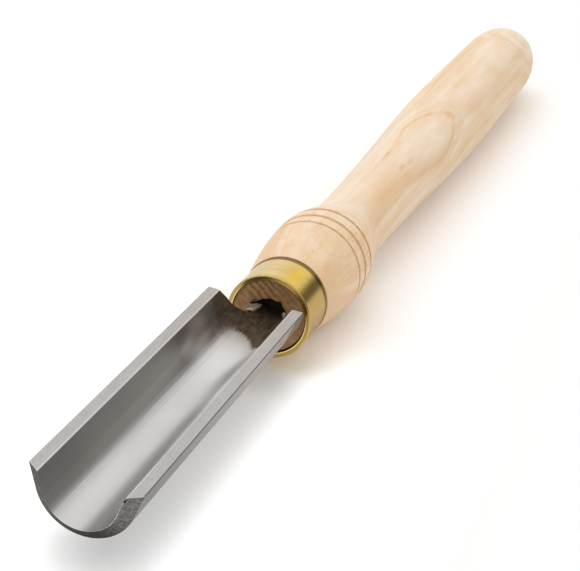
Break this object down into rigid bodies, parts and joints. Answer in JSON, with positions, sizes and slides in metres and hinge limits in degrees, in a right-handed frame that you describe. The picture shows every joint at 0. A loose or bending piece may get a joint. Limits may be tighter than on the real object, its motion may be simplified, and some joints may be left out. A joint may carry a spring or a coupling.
{
  "type": "spindle roughing gouge",
  "caption": "Woodturning spindle roughing gouge: deep forged steel channel blade, brass ferrule and turned ash handle.",
  "frame": {"origin": "centre of the bottom of the part's box, on the surface that the tool lies on", "axes": "+X along the tool from the cutting edge to the butt, +Z out of the open side of the flute"},
  "size_m": [0.514, 0.0362, 0.0362],
  "materials": {
    "steel": "ground and linished, dull grey at the root",
    "brass": "satin, turned",
    "ash": "pale ash, sanded and sealed",
    "adhesive": "set adhesive, pale and dull"
  },
  "bodies": {
    "root": {"blade": "steel", "ferrule": "brass", "handle": "ash", "tang_adhesive": "adhesive"}
  },
  "joints": []
}
